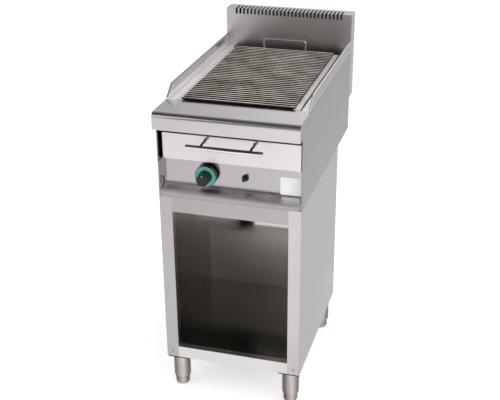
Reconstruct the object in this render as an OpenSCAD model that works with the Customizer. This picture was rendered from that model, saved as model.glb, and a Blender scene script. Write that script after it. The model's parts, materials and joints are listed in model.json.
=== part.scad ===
// Gas char grill on an open stand, in stainless steel sheet.
// Millimetres, +Z up, front towards -Y, origin on the floor under the middle of the outline.

/* [Overall] */
// Width of the cooking unit and of its stand
unit_w = 400; // [390:5:460]
// Height of the stand's frame above the floor
leg_h = 110; // [100:5:150]
// Height of the stand's frame
stand_h = 520; // [440:10:600]
// Depth of the stand
stand_d = 480; // [400:10:560]
// Height of the cooking unit, from the stand to the worktop
unit_h = 250; // [245:1:275]
// Depth of the cooking unit, from its front plane to its back panel
unit_d = 640; // [580:5:720]
// Thickness of the steel sheet
sheet = 1.5; // [1:0.1:2]

/* [Stand] */
// Width of a front post, seen from the front
post_w = 36; // [26:1:50]
// Depth of the posts and rails
post_d = 20; // [14:1:30]
// Height of the top rails
top_rail_h = 44; // [30:1:70]
// Height of the bottom rails
bottom_rail_h = 36; // [26:1:50]
// Width of the channels that carry the shelf's sides
base_channel_w = 60; // [40:1:80]
// Distance of the back panel from the stand's rear edge
back_inset = 65; // [30:5:100]
// Depth of the foot folded along the back panel's lower edge
back_foot = 22; // [16:1:28]

/* [Legs] */
// Side of the square plate on top of each leg
leg_plate_w = 62; // [56:1:80]
// Thickness of that plate
leg_plate_t = 5; // [3:0.5:8]
// Distance from the plate to the stand's outer faces
leg_edge = 2; // [0:0.5:10]
// Radius of the leg tube
leg_r = 25; // [23:0.5:27]
// Radius of the adjustable foot
foot_r = 21; // [18:0.5:21.5]
// Radius of the foot's rounded end
foot_round = 9; // [5:0.5:12]
// Height of the foot that shows under the tube
foot_show = 32; // [26:1:36]
// Length of the foot inside the tube
foot_engage = 35; // [25:1:36]
// Running clearance between foot and tube, on the radius
foot_fit = 0.05; // [0.02:0.01:0.1]

/* [Bullnose] */
// Overhang of the rounded front ledge ahead of the front plane
nose_over = 28; // [20:1:36]
// Depth of that ledge behind the front plane
nose_depth = 84; // [75:1:95]
// Height of the ledge's front face
nose_h = 47; // [40:1:50]
// Radius of its rounded edge
nose_r = 14; // [8:0.5:20]
// Depth of the flange folded back under it
nose_return = 26; // [18:1:27]

/* [Worktop] */
// Width of the grill well
well_w = 346; // [300:1:350]
// Distance from the well's back wall to the back panel
well_rear = 34; // [21:1:51]
// Step from the top of the bullnose down to the side ledges
ledge_drop = 4; // [2:0.5:8]
// Height of the splash guards above the ledges
guard_h = 38; // [25:1:60]
// Thickness of the folded splash guards
guard_t = 6; // [2:0.5:8]
// Length of the slope at the front of the splash guards
guard_slope = 41; // [20:1:70]
// Height of the square step ahead of that slope
guard_step = 8; // [5:1:15]

/* [Flue] */
// Depth of the flue box behind the cooking unit
flue_d = 52; // [46:1:70]
// Height of the flue's top above the worktop
riser_h = 115; // [80:1:160]
// Height of the flue's floor above the stand
flue_z = 102; // [80:1:115]
// Height of the back panel's edge above the flue's floor
window_sill = 18; // [10:1:30]
// How far the flue's front reaches below the ledges
riser_tuck = 16; // [10:1:24]
// Number of slots along the flue's top edge
slot_count = 29; // [15:1:29]
// Width of a slot
slot_w = 6; // [4:0.5:8]
// Spacing of the slots
slot_pitch = 11.9; // [10:0.1:12.5]
// Length of a slot across the top
slot_top = 38; // [20:1:40]
// Length of a slot down the front
slot_front = 16; // [8:1:30]

/* [Control panel] */
// Height of the front that holds the controls
panel_h = 102; // [96:1:105]
// Depth of the recess in front of the control panel
panel_y = 28; // [22:1:32]
// Height of the lip at the foot of the panel
panel_lip = 17; // [12:1:24]
// Rise of the sloping ledge behind that lip
panel_rise = 13; // [4:1:14]
// Depth of the flange along the top of the panel
panel_flange = 14; // [8:1:18]
// Width of the blank plate on the panel
plate_w = 58; // [40:1:62]
// Height of that plate
plate_h = 50; // [40:1:55]
// Thickness of that plate
plate_t = 0.6; // [0.4:0.1:1]
// Distance from the plate to the panel's end
plate_edge = 6; // [5:1:12]
// Height of the plate above the sloping ledge
plate_low = 2; // [1:0.5:12]

/* [Drawer] */
// Distance of the drawer's face behind the front plane
drawer_y = 20; // [14:1:22]
// Space at each end of the drawer's face
drawer_side_gap = 6.5; // [3:0.5:10]
// Gap below the drawer's face
drawer_gap = 3; // [2:0.5:4]
// Height of the air gap between the drawer's face and the bullnose
air_gap = 23.5; // [2:0.5:24]
// Depth of the edges folded back round the drawer's face
drawer_fold = 12; // [8:1:16]
// Width of the tray
tray_w = 336; // [328:1:342]
// Height of the tray
tray_h = 45; // [35:1:46]
// Distance from the face's lower edge up to the tray
tray_rise = 7; // [4:0.5:8]
// Gap between the tray's back and the mixing tube behind it
tray_clear = 20.5; // [16.5:0.5:72.5]
// Width of the rims that slide on the runners
rim_w = 14; // [8:0.5:16]
// Gap between rim and runner
slide_gap = 0.3; // [0.3:0.1:0.6]
// Height of the runners
runner_h = 24; // [14:1:30]
// Length of the handle bar
handle_len = 210; // [150:1:300]
// Radius of the handle bar
handle_r = 6; // [5:0.5:8]
// Distance from the drawer's face to the bar's middle
handle_reach = 56; // [45:1:65]
// Depth of the bar below the face's upper edge
handle_drop = 11.5; // [6:0.5:35]
// Radius of the standoffs
standoff_r = 4; // [3:0.5:4.5]
// Distance between the standoffs
standoff_pitch = 135; // [100:1:145]

/* [Grate] */
// Gap in front of the grate and behind it
grate_gap = 1.5; // [1:0.5:3]
// Gap between the grate and the well's side walls
grate_side_gap = 4; // [1:0.5:6]
// Width of the side rails
rail_w = 16; // [12:0.5:20]
// Height of the side rails
rail_h = 8; // [6:0.5:10]
// Height of the rails' tops above the side ledges
rail_rise = 3.5; // [0:0.5:6]
// Distance from the grate's front to the rails' front ends
rail_setback = 5; // [4:0.5:7]
// Radius of the rods
rod_r = 4; // [3:0.5:4.5]
// Number of rods
rod_count = 33; // [20:1:33]
// How far the rods reach onto the rails
rod_hold = 4; // [2:0.5:11]
// Thickness of the bars that carry the grate
support_t = 3; // [2:0.5:5]
// Width of those bars
support_w = 15; // [10:0.5:20]
// Width of the wire lift loop
loop_w = 132; // [100:1:180]
// Height of the loop above the rods
loop_h = 28; // [25:1:45]
// Radius of the loop's wire
loop_r = 3; // [2:0.5:3.5]
// Bend radius of the loop's corners
loop_bend = 10; // [6:0.5:14]

/* [Burner] */
// Radius of the burner tubes
burner_r = 16; // [12:0.5:17]
// Distance of the burner tubes from the middle
burner_x = 80; // [65:1:95]
// Depth of the burner axis below the side ledges
burner_drop = 56; // [54:0.5:58]
// Wall of the burner tubes
burner_wall = 1.5; // [1:0.1:2.5]
// Radius of a flame port
port_r = 1.5; // [1:0.1:2]
// Number of flame ports along each tube
port_count = 20; // [8:1:30]
// Thickness of the bars under the burner
burner_bar_t = 2; // [1.5:0.5:3]
// Width of the bars under and over the burner
burner_bar_w = 12; // [10:0.5:14]
// Half width of a flame deflector
deflector_w = 35; // [28:1:45]
// Rise of a flame deflector's ridge
deflector_h = 12; // [8:0.5:13]
// Height of the firebox walls' lower edge below the burner axis
firebox_skirt = 25; // [22:0.5:26]
// Height of the rear firebox wall
firebox_rear_h = 33; // [24:1:38]
// Radius of the mixing tube
venturi_r = 13; // [11:0.5:15]
// Length of the mixing tube below the header
venturi_len = 80; // [70:1:85]
// Radius of the gas pipes
pipe_r = 5; // [4:0.5:6]
// Radius of the injector
injector_r = 9; // [7:0.5:10]
// Length of the injector
injector_len = 16; // [12:0.5:18]
// Height of the air windows in the mixing tube
air_window_h = 20; // [12:1:30]
// Distance from the mixing tube's foot to the air windows
air_window_z = 10; // [5:1:15]

/* [Gas inlet] */
// Radius of the threaded inlet
inlet_r = 10.4775; // [8:0.0005:13]
// Length of the inlet behind the back panel
inlet_len = 28; // [20:1:34]
// Distance of the inlet from the middle
inlet_x = 120; // [100:1:150]
// Height of the inlet above the stand
inlet_z = 35; // [28:1:40]
// Radius of the inlet's nut
inlet_nut_r = 15; // [13.5:0.5:18]
// Length of the inlet's nut
inlet_nut_len = 10; // [6:0.5:14]
// Length of the thread's plain neck behind the back panel
inlet_neck = 2; // [1:0.5:4]
// Depth of that neck
neck_depth = 1; // [0.5:0.5:2]

/* [Controls] */
// Height of the knob and of the button above the stand
control_z = 68; // [62:1:70]
// Distance of the knob to the left of the middle
knob_x = 68; // [58:1:75]
// Radius of the knob's dial and skirt
dial_r = 30; // [26:0.5:32]
// Thickness of the dial
dial_t = 3; // [2:0.5:4]
// Depth of the skirt behind the dial
skirt_t = 11; // [6:0.5:14]
// Radius of the grip
grip_r = 18; // [14:0.5:20]
// Length of the grip ahead of the dial
grip_len = 31; // [24:1:36]
// Number of finger flutes round the grip
flute_count = 12; // [6:1:18]
// Radius of a flute
flute_r = 2.5; // [1.5:0.5:3]
// Gap between skirt and panel
knob_gap = 6.5; // [6:0.5:8]
// Travel of the knob when it is pushed in
knob_push = 5; // [3:0.5:5.5]
// Radius of the tap's spindle
spindle_r = 4; // [3:0.5:5]
// Running clearance of spindles and plungers, on the radius
spindle_fit = 0.05; // [0.02:0.01:0.1]
// Length of the spindle inside the knob
spindle_hold = 22; // [14:1:26]
// Length of the spindle inside the tap
spindle_in = 28; // [20:1:30]
// Radius of the tap's push rod
push_r = 2.5; // [1.5:0.5:2.5]
// Length of the push rod
push_len = 14; // [10:1:16]
// Radius of the tap's body
tap_r = 16; // [14:0.5:18]
// Length of the tap's body
tap_len = 56; // [54:1:62]
// Length of the tap's bosses
tap_boss = 10; // [8:1:12]
// Wall of those bosses round the pipes
boss_wall = 3; // [2:0.5:4]
// Clearance round the spindle in the control panel
spindle_clear = 2; // [1:0.5:4]
// Distance of the igniter to the right of the middle
igniter_x = 38; // [30:1:48]
// Radius of the igniter's flange
igniter_flange_r = 9.5; // [9:0.5:12]
// Radius of the igniter's body
igniter_r = 8; // [7:0.5:8.5]
// Length of the igniter's body behind the panel
igniter_len = 50; // [42:1:60]
// Thickness of the igniter's flange
igniter_flange_t = 4; // [3:0.5:6]
// Radius of the igniter's button
button_r = 4.5; // [3.5:0.5:5]
// How far the button stands out of its flange
button_out = 17; // [8:0.5:18]
// Length of the button inside the igniter
button_in = 18; // [14:1:22]
// Travel of the button
button_travel = 6; // [3:0.5:7]
// Radius of the electrode and of the thermocouple
probe_r = 3; // [2:0.5:3.5]
// Distance from the probes to the burner tubes
probe_gap = 6; // [5:0.5:8]
// Radius of the probes' leads
lead_r = 1.5; // [1:0.5:2]

/* [Screws] */
// Radius of a screw's head
screw_head_r = 4; // [3:0.5:5]
// Height of a screw's head
screw_head_h = 2; // [1.5:0.5:3]
// Radius of a screw's shank
screw_r = 2; // [1.5:0.5:2.5]
// Length of a screw's shank
screw_len = 8; // [5:0.5:12]
// Distance of the screws from the panel's edges
screw_edge = 16; // [10:1:18]

/* [Hidden] */
$fn = 64;

// Small overlap that makes a cut pass clear through a face
cut = 1;

// Widths, measured from the middle plane
half_w = unit_w / 2;
inner_x = half_w - sheet;
well_x = well_w / 2;
tray_x = tray_w / 2;
grate_x = well_x - grate_side_gap;

// Heights of the main levels
frame_z = leg_h;
deck_z = frame_z + stand_h;
top_z = deck_z + unit_h;
ledge_z = top_z - ledge_drop;
flue_top_z = top_z + riser_h;
flue_low_z = deck_z + flue_z;
riser_low_z = ledge_z - riser_tuck;
nose_low_z = top_z - nose_h;
shelf_z = frame_z + bottom_rail_h;
panel_top_z = deck_z + panel_h;
drawer_low_z = panel_top_z + drawer_gap;
drawer_top_z = nose_low_z - air_gap;
tray_low_z = drawer_low_z + tray_rise;
tray_top_z = tray_low_z + tray_h;
handle_z = drawer_top_z - handle_drop;
grate_seat_z = ledge_z + rail_rise - rail_h;
rod_z = grate_seat_z + rail_h + rod_r;
burner_z = ledge_z - burner_drop;
deflector_z = burner_z + burner_r + support_t;
firebox_z = burner_z - firebox_skirt;
venturi_z = burner_z - burner_r - venturi_len;
probe_low_z = venturi_z + venturi_len / 2;
knob_z = deck_z + control_z;
supply_z = deck_z + inlet_z;

// Depths, measured back from the front plane
flue_back_y = unit_d + flue_d;
well_front_y = nose_depth + sheet;
well_back_y = unit_d - well_rear;
handle_y = drawer_y - handle_reach;
grate_front_y = well_front_y + grate_gap;
grate_back_y = well_back_y - sheet - grate_gap;
loop_y = grate_back_y - loop_r;
last_rod_y = loop_y - loop_r - rod_r;
first_rod_y = grate_front_y + rail_setback;
header_y = well_back_y - sheet - burner_r - probe_r;
tray_back_y = header_y - venturi_r - tray_clear;
probe_y = header_y - burner_r - burner_bar_w / 2;
panel_back_y = panel_y + sheet;
skirt_y = panel_y - knob_gap;
dial_y = skirt_y - skirt_t;
grip_y = dial_y - dial_t - grip_len;
button_y = panel_y - igniter_flange_t - button_out;
supply_y = panel_back_y + tap_len / 2;
tap_back_y = panel_back_y + tap_len;
spindle_end_y = panel_back_y + spindle_in;
tube_front_y = well_front_y + burner_bar_w;
back_y = stand_d - back_inset;
rear_rail_y = stand_d - post_d;

// The front plane's place, with the outline centred on the origin
front_reach = max(nose_over, handle_r - handle_y);
front_y = (front_reach - flue_back_y) / 2;

// Places of the legs
leg_x = half_w - leg_edge - leg_plate_w / 2;
leg_front_y = leg_edge + leg_plate_w / 2;
leg_back_y = stand_d - leg_front_y;
foot_len = foot_show + foot_engage;

// Places of the screws, and the space between the posts
rail_x = half_w - post_w;
screw_post_x = half_w - post_w / 2;
screw_back_x = inner_x - screw_edge;
screw_low_z = frame_z + screw_edge;
screw_back_z = deck_z - screw_edge;
foot_screw_y = back_y + back_foot / 2;

// The electrode stands inside the right burner tube, the thermocouple outside the left one
electrode_x = burner_x - burner_r - probe_gap;
couple_x = -burner_x - burner_r - probe_gap;
// Radius to which the leads are bent
lead_turn = 1.5 * lead_r;

steel = "#c8c5c4";
light_steel = "#dedada";
panel_steel = "#c4c0c0";
inside_steel = "#8d8a86";
rod_steel = "#b5aca4";
pipe_steel = "#a9a49c";
brass = "#b79a52";
black = "#1c1c1e";
teal = "#66b8b1";
white = "#f3f3f1";

// Places children by distances from the middle, the front plane and the floor
module at(x, y, z) {
  translate([x, y + front_y, z]) children();
}

// A box between two corners
module slab(low, high) {
  at(low.x, low.y, low.z) cube(high - low);
}

// Children on the right, or their mirror image on the left
module on_side(side) {
  if (side > 0) children();
  else mirror([1, 0, 0]) children();
}

// Children on both sides
module both_sides() {
  on_side(1) children();
  on_side(-1) children();
}

// A folded box section, open at the two ends of the given axis
module box_section(low, high, open) {
  wall = [sheet, sheet, sheet];
  through = [for (i = [0:2]) i == open ? -cut : wall[i]];
  difference() {
    slab(low, high);
    slab(low + through, high - through);
  }
}

// A round bar between two points
module bar(from, to, r) {
  run = to - from;
  length = norm(run);
  at(from.x, from.y, from.z)
    rotate([0, acos(run.z / length), atan2(run.y, run.x)])
      cylinder(r = r, h = length);
}

// A pipe along a route of points, with a ball at each bend
module pipe(route, r, ball_r) {
  for (i = [0:len(route) - 2]) bar(route[i], route[i + 1], r);
  for (i = [1:len(route) - 2]) at(route[i].x, route[i].y, route[i].z) sphere(r = ball_r);
}

// The direction of a run
function unit(run) = run / norm(run);

// A quarter bend of a lead, from one direction into the next
module lead_bend(corner, way, next) {
  hub = corner + lead_turn * (next - way);
  pole = cross(way, next);
  at(hub.x, hub.y, hub.z)
    multmatrix([
      [-next.x, way.x, pole.x, 0],
      [-next.y, way.y, pole.y, 0],
      [-next.z, way.z, pole.z, 0],
      [0, 0, 0, 1]
    ])
      rotate_extrude(angle = 90) translate([lead_turn, 0]) circle(r = lead_r);
}

// A thin lead along a route of points, bent at each corner
module lead(route) {
  last = len(route) - 1;
  for (i = [0:last - 1]) {
    way = unit(route[i + 1] - route[i]);
    from = route[i] + (i > 0 ? lead_turn : 0) * way;
    to = route[i + 1] - (i < last - 1 ? lead_turn : 0) * way;
    bar(from, to, lead_r);
  }
  for (i = [1:last - 1])
    lead_bend(route[i], unit(route[i] - route[i - 1]), unit(route[i + 1] - route[i]));
}

// An outline in depth and height, given a thickness across the width from x0
module profile(x0, width) {
  translate([x0, front_y, 0]) rotate([90, 0, 90]) linear_extrude(height = width) children();
}

module stand_panel(side) {
  on_side(side) slab([inner_x, 0, frame_z], [half_w, stand_d, deck_z]);
}

module stand_left_panel() {
  color(steel) stand_panel(-1);
}

module stand_right_panel() {
  color(steel) stand_panel(1);
}

module stand_post(side) {
  on_side(side) difference() {
    box_section([half_w - post_w, 0, frame_z], [inner_x, post_d, deck_z], 2);
    bar([screw_post_x, -cut, screw_low_z], [screw_post_x, sheet + cut, screw_low_z], screw_r);
  }
}

module stand_left_post() {
  color(steel) stand_post(-1);
}

module stand_right_post() {
  color(steel) stand_post(1);
}

// Holes for the screws through the back panel's top
module back_screw_holes() {
  start = [screw_back_x, back_y - 2 * sheet - cut, screw_back_z];
  both_sides() bar(start, [start.x, back_y + cut, start.z], screw_r);
}

// Holes for the screws through the back panel's foot
module foot_screw_holes() {
  low = shelf_z - 2 * sheet - cut;
  high = shelf_z + sheet + cut;
  both_sides() bar([screw_back_x, foot_screw_y, low], [screw_back_x, foot_screw_y, high], screw_r);
}

module stand_rails() {
  low = deck_z - top_rail_h;
  stop_y = back_y - sheet;
  color(steel) {
    box_section([-rail_x, 0, low], [rail_x, post_d, deck_z], 0);
    box_section([-rail_x, 0, frame_z], [rail_x, post_d, shelf_z], 0);
    difference() {
      box_section([-inner_x, stop_y - post_d, low], [inner_x, stop_y, deck_z], 0);
      back_screw_holes();
    }
    box_section([-inner_x, rear_rail_y, frame_z], [inner_x, stand_d, shelf_z - sheet], 0);
  }
}

module stand_back_panel() {
  color(steel) difference() {
    union() {
      slab([-inner_x, back_y - sheet, shelf_z], [inner_x, back_y, deck_z]);
      slab([-inner_x, back_y - sheet, shelf_z], [inner_x, back_y + back_foot, shelf_z + sheet]);
    }
    back_screw_holes();
    foot_screw_holes();
  }
}

module stand_base_channels() {
  color(steel) difference() {
    both_sides()
      box_section([inner_x - base_channel_w, post_d, frame_z], [inner_x, rear_rail_y, shelf_z - sheet], 1);
    foot_screw_holes();
  }
}

module stand_shelf() {
  color(inside_steel) difference() {
    slab([-inner_x, post_d, shelf_z - sheet], [inner_x, stand_d, shelf_z]);
    foot_screw_holes();
  }
}

// Children at each of the four legs
module each_leg() {
  for (y = [leg_front_y, leg_back_y]) for (x = [-leg_x, leg_x]) at(x, y, 0) children();
}

module leg_plates() {
  color(steel) each_leg()
    translate([-leg_plate_w / 2, -leg_plate_w / 2, frame_z - leg_plate_t])
      cube([leg_plate_w, leg_plate_w, leg_plate_t]);
}

module leg_tubes() {
  color(pipe_steel) each_leg() difference() {
    translate([0, 0, foot_show]) cylinder(r = leg_r, h = frame_z - leg_plate_t - foot_show);
    cylinder(r = foot_r + foot_fit, h = frame_z);
  }
}

// One adjustable foot with a rounded end
module foot(x, y) {
  at(x, y, 0) rotate_extrude() {
    square([foot_r - foot_round, foot_len]);
    translate([0, foot_round]) square([foot_r, foot_len - foot_round]);
    translate([foot_r - foot_round, foot_round]) circle(r = foot_round);
  }
}

module front_left_foot() {
  color(pipe_steel) foot(-leg_x, leg_front_y);
}

module front_right_foot() {
  color(pipe_steel) foot(leg_x, leg_front_y);
}

module rear_left_foot() {
  color(pipe_steel) foot(-leg_x, leg_back_y);
}

module rear_right_foot() {
  color(pipe_steel) foot(leg_x, leg_back_y);
}

// A screw whose head rests on a face at its seat and whose shank points along its way
module screw(seat, way) {
  bar(seat, seat - screw_head_h * way, screw_head_r);
  bar(seat - screw_head_h / 2 * way, seat + screw_len * way, screw_r);
}

module panel_screws() {
  color(pipe_steel) both_sides() {
    screw([screw_post_x, 0, screw_low_z], [0, 1, 0]);
    screw([screw_back_x, back_y, screw_back_z], [0, -1, 0]);
    screw([screw_back_x, foot_screw_y, shelf_z + sheet], [0, 0, -1]);
  }
}

module unit_base_pan() {
  color(steel) slab([-inner_x, sheet, deck_z], [inner_x, unit_d - sheet, deck_z + sheet]);
}

module unit_panel(side) {
  on_side(side) profile(inner_x, sheet) polygon([
    [0, deck_z], [unit_d, deck_z], [unit_d, ledge_z],
    [nose_depth, ledge_z], [nose_depth, nose_low_z], [0, nose_low_z]
  ]);
}

module unit_left_panel() {
  color(steel) unit_panel(-1);
}

module unit_right_panel() {
  color(steel) unit_panel(1);
}

module unit_back_panel() {
  color(steel) difference() {
    slab([-inner_x, unit_d - sheet, deck_z + sheet], [inner_x, unit_d, flue_low_z + window_sill]);
    bar([inlet_x, unit_d - sheet - cut, supply_z], [inlet_x, unit_d + cut, supply_z], inlet_r + slide_gap);
  }
}

// Outline of the bullnose, drawn inwards from its outer face by a margin
module nose_outline(margin) {
  front = -nose_over + margin;
  low = nose_low_z + margin;
  r = nose_r - margin;
  translate([front, low]) square([nose_depth - margin - front, top_z - nose_r - low]);
  translate([front + r, low]) square([nose_depth - margin - front - r, top_z - margin - low]);
  translate([front + r, top_z - nose_r]) circle(r = r);
}

module bullnose() {
  open_y = -nose_over + nose_return;
  color(steel) {
    profile(-inner_x, 2 * inner_x) difference() {
      nose_outline(0);
      nose_outline(sheet);
      translate([open_y, nose_low_z - cut]) square([nose_depth - sheet - open_y, sheet + 2 * cut]);
    }
    both_sides() profile(inner_x, sheet) nose_outline(0);
  }
}

// Section of the control panel: its face, the sloping ledge and the lip
module panel_section() {
  ledge_top = deck_z + panel_lip + panel_rise;
  lip_top = deck_z + panel_lip;
  polygon([
    [panel_y, panel_top_z], [panel_y, ledge_top], [0, lip_top], [0, deck_z],
    [sheet, deck_z], [sheet, lip_top - sheet / 2], [panel_back_y, ledge_top - sheet / 2],
    [panel_back_y, panel_top_z - sheet], [panel_back_y + panel_flange, panel_top_z - sheet],
    [panel_back_y + panel_flange, panel_top_z]
  ]);
}

// Section of the cheek that closes each end of the control recess
module cheek_section() {
  polygon([
    [0, deck_z + sheet], [panel_back_y, deck_z + panel_lip], [panel_back_y, panel_top_z], [0, panel_top_z]
  ]);
}

module control_panel() {
  color(panel_steel) difference() {
    union() {
      profile(-inner_x, 2 * inner_x) panel_section();
      both_sides() profile(inner_x - sheet, sheet) cheek_section();
    }
    bar([-knob_x, 0, knob_z], [-knob_x, panel_back_y + cut, knob_z], spindle_r + spindle_clear);
    bar([igniter_x, 0, knob_z], [igniter_x, panel_back_y + cut, knob_z], igniter_r);
  }
}

module rating_plate() {
  right = inner_x - plate_edge;
  low = deck_z + panel_lip + panel_rise + plate_low;
  color(white) slab([right - plate_w, panel_y - plate_t, low], [right, panel_y, low + plate_h]);
}

module splash_guard(side) {
  on_side(side) profile(half_w - guard_t, guard_t) polygon([
    [nose_depth, ledge_z], [unit_d, ledge_z], [unit_d, ledge_z + guard_h],
    [nose_depth + guard_slope, ledge_z + guard_h], [nose_depth, ledge_z + guard_step]
  ]);
}

module left_splash_guard() {
  color(steel) splash_guard(-1);
}

module right_splash_guard() {
  color(steel) splash_guard(1);
}

module ledge(side) {
  on_side(side) slab([well_x, nose_depth, ledge_z - sheet], [inner_x, unit_d, ledge_z]);
}

module left_ledge() {
  color(steel) ledge(-1);
}

module right_ledge() {
  color(steel) ledge(1);
}

module firebox_side_walls() {
  color(inside_steel) both_sides()
    slab([well_x, nose_depth, firebox_z], [well_x + sheet, well_back_y, ledge_z - sheet]);
}

module firebox_end_walls() {
  color(inside_steel) {
    slab([-well_x, nose_depth, firebox_z], [well_x, well_front_y, ledge_z]);
    slab([-well_x, well_back_y - sheet, firebox_z], [well_x, well_back_y, firebox_z + firebox_rear_h]);
  }
}

module grate_supports() {
  low = grate_seat_z - support_t;
  color(inside_steel) both_sides()
    slab([well_x - support_w, well_front_y, low], [well_x, well_back_y - sheet, grate_seat_z]);
}

// One slot through the flue's front and top
module flue_slot(x) {
  low = flue_top_z - slot_front;
  slab([x - slot_w / 2, unit_d - cut, low], [x + slot_w / 2, unit_d + slot_top, flue_top_z + cut]);
}

module flue_riser() {
  color(steel) difference() {
    profile(-half_w, unit_w) polygon([
      [unit_d, riser_low_z], [unit_d + sheet, riser_low_z], [unit_d + sheet, flue_top_z - sheet],
      [flue_back_y - sheet, flue_top_z - sheet], [flue_back_y - sheet, flue_top_z], [unit_d, flue_top_z]
    ]);
    for (i = [0:slot_count - 1]) flue_slot((i - (slot_count - 1) / 2) * slot_pitch);
  }
}

module flue_back_panel() {
  color(steel) slab([-half_w, flue_back_y - sheet, flue_low_z], [half_w, flue_back_y, flue_top_z]);
}

module flue_cheeks() {
  color(steel) both_sides() profile(inner_x, sheet) polygon([
    [unit_d, flue_low_z], [flue_back_y - sheet, flue_low_z], [flue_back_y - sheet, flue_top_z - sheet],
    [unit_d + sheet, flue_top_z - sheet], [unit_d + sheet, riser_low_z], [unit_d, riser_low_z]
  ]);
}

module flue_floor() {
  color(steel) slab([-inner_x, unit_d, flue_low_z], [inner_x, flue_back_y - sheet, flue_low_z + sheet]);
}

// Section of the angle that carries the tray's rim
module runner_section() {
  high = tray_top_z - sheet - slide_gap;
  polygon([
    [tray_x + slide_gap, high], [inner_x, high], [inner_x, high - runner_h],
    [inner_x - sheet, high - runner_h], [inner_x - sheet, high - sheet], [tray_x + slide_gap, high - sheet]
  ]);
}

module drawer_runners() {
  color(inside_steel) both_sides()
    at(0, tray_back_y, 0) rotate([90, 0, 0])
      linear_extrude(height = tray_back_y - nose_depth) runner_section();
}

module drawer_front() {
  face_x = inner_x - drawer_side_gap;
  fold_y = drawer_y + drawer_fold;
  color(light_steel) difference() {
    slab([-face_x, drawer_y, drawer_low_z], [face_x, fold_y, drawer_top_z]);
    slab(
      [sheet - face_x, drawer_y + sheet, drawer_low_z + sheet],
      [face_x - sheet, fold_y + cut, drawer_top_z - sheet]
    );
  }
}

module drawer_tray() {
  front = drawer_y + sheet;
  rim_x = tray_x + rim_w;
  hollow_x = tray_x - sheet;
  color(inside_steel) difference() {
    union() {
      slab([-tray_x, front, tray_low_z], [tray_x, tray_back_y, tray_top_z]);
      slab([-rim_x, front + drawer_fold, tray_top_z - sheet], [rim_x, tray_back_y, tray_top_z]);
    }
    slab([-hollow_x, front + sheet, tray_low_z + sheet], [hollow_x, tray_back_y - sheet, tray_top_z + cut]);
  }
}

module drawer_handle_bar() {
  color(steel) difference() {
    bar([-handle_len / 2, handle_y, handle_z], [handle_len / 2, handle_y, handle_z], handle_r);
    handle_standoff_pair(standoff_r);
  }
}

// The two standoffs, from the middle of the bar to the drawer's face
module handle_standoff_pair(r) {
  x = standoff_pitch / 2;
  both_sides() bar([x, handle_y, handle_z], [x, drawer_y, handle_z], r);
}

module drawer_handle_standoffs() {
  color(steel) handle_standoff_pair(standoff_r);
}

module grate_side_rails() {
  color(rod_steel) both_sides()
    slab([grate_x - rail_w, first_rod_y, grate_seat_z], [grate_x, grate_back_y, grate_seat_z + rail_h]);
}

module grate_rods() {
  pitch = (last_rod_y - first_rod_y) / (rod_count - 1);
  end_x = grate_x - rail_w + rod_hold;
  color(rod_steel) for (i = [0:rod_count - 1]) {
    y = first_rod_y + i * pitch;
    bar([-end_x, y, rod_z], [end_x, y, rod_z], rod_r);
  }
}

module grate_lift_loop() {
  x = loop_w / 2;
  high = rod_z + rod_r + loop_h;
  color(rod_steel) both_sides() {
    bar([x, loop_y, rod_z - rod_r], [x, loop_y, high - loop_bend], loop_r);
    at(x - loop_bend, loop_y, high - loop_bend) rotate([90, 0, 0])
      rotate_extrude(angle = 90) translate([loop_bend, 0]) circle(r = loop_r);
    bar([0, loop_y, high], [x - loop_bend, loop_y, high], loop_r);
  }
}

// Outside of the header that joins the burner tubes
module header_solid() {
  x = burner_x + burner_r;
  bar([-x, header_y, burner_z], [x, header_y, burner_z], burner_r);
}

// Outside of one burner tube
module tube_solid() {
  bar([burner_x, tube_front_y, burner_z], [burner_x, header_y, burner_z], burner_r);
}

// One burner tube with a closed front end and a row of flame ports
module burner_tube() {
  ports = header_y - tube_front_y - 4 * burner_r;
  bore_y = tube_front_y + burner_wall;
  difference() {
    tube_solid();
    bar([burner_x, bore_y, burner_z], [burner_x, header_y, burner_z], burner_r - burner_wall);
    header_solid();
    for (i = [0:port_count - 1]) {
      y = tube_front_y + burner_r + i * ports / (port_count - 1);
      bar([burner_x, y, burner_z], [burner_x, y, burner_z + burner_r + cut], port_r);
    }
  }
}

module burner_tubes() {
  color(pipe_steel) both_sides() burner_tube();
}

module burner_header() {
  color(pipe_steel) header_solid();
}

module burner_venturi() {
  bore_r = venturi_r - burner_wall;
  window_z = venturi_z + air_window_z;
  color(pipe_steel) difference() {
    bar([-knob_x, header_y, venturi_z], [-knob_x, header_y, burner_z], venturi_r);
    bar([-knob_x, header_y, venturi_z + burner_wall], [-knob_x, header_y, burner_z], bore_r);
    slab(
      [-knob_x - bore_r / 2, header_y - venturi_r - cut, window_z],
      [-knob_x + bore_r / 2, header_y + venturi_r + cut, window_z + air_window_h]
    );
    header_solid();
    both_sides() tube_solid();
  }
}

// Holes for the two probes in the rear bar under the burner
module probe_holes() {
  high = burner_z - burner_r;
  for (x = [electrode_x, couple_x])
    bar([x, probe_y, high - burner_bar_t - cut], [x, probe_y, high + cut], probe_r);
}

module burner_supports() {
  high = burner_z - burner_r;
  rear_y = probe_y - burner_bar_w / 2;
  color(inside_steel) difference() {
    union() {
      slab([-well_x, tube_front_y, high - burner_bar_t], [well_x, tube_front_y + burner_bar_w, high]);
      slab([-well_x, rear_y, high - burner_bar_t], [well_x, rear_y + burner_bar_w, high]);
    }
    probe_holes();
  }
}

module deflector_rests() {
  low = deflector_z - support_t;
  rear_y = well_back_y - sheet;
  color(inside_steel) {
    slab([-well_x, well_front_y, low], [well_x, well_front_y + burner_bar_w, deflector_z]);
    slab([-well_x, rear_y - burner_bar_w, low], [well_x, rear_y, deflector_z]);
  }
}

// Section of one roof-shaped deflector
module deflector_section() {
  polygon([
    [-deflector_w, 0], [0, deflector_h - sheet], [deflector_w, 0],
    [deflector_w, sheet], [0, deflector_h], [-deflector_w, sheet]
  ]);
}

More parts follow.
